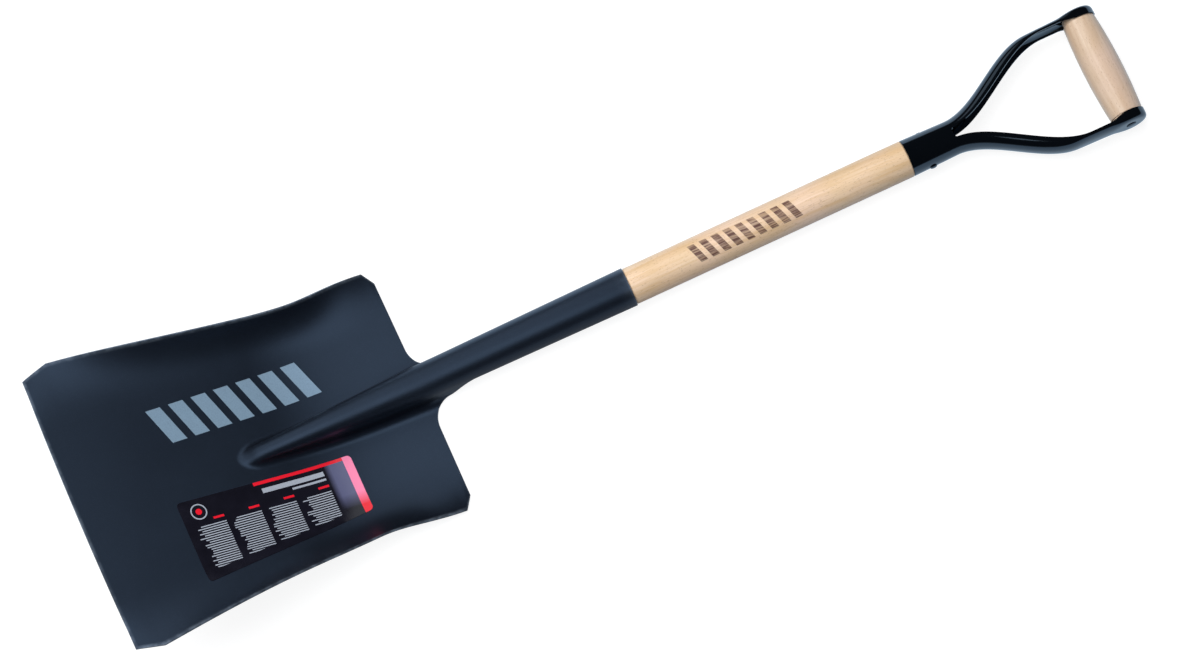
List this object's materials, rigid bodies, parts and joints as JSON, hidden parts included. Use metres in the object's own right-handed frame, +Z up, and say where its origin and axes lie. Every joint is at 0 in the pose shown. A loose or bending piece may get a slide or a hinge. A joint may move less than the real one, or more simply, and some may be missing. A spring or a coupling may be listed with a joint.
{
  "type": "square mouth shovel",
  "caption": "Square mouth shovel with a pressed steel pan and long rolled socket, a wooden shaft, and a steel D yoke that holds a wooden barrel grip.",
  "frame": {"origin": "middle of the ground under the shovel's box, as it lies on its back with its face up", "axes": "+X along the shaft from the blade toward the grip, +Y across the blade, +Z up out of the blade's face"},
  "size_m": [1.0586, 0.291, 0.1059],
  "materials": {
    "blade_paint": "satin",
    "handle_wood": "satin",
    "yoke_enamel": "gloss",
    "label_film": "gloss"
  },
  "bodies": {
    "root": {"blade": "blade_paint", "shaft": "handle_wood", "yoke": "yoke_enamel", "grip": "handle_wood", "grip_rivet": "yoke_enamel", "yoke_rivet": "yoke_enamel", "socket_nail": "blade_paint", "product_label": "label_film"}
  },
  "joints": []
}
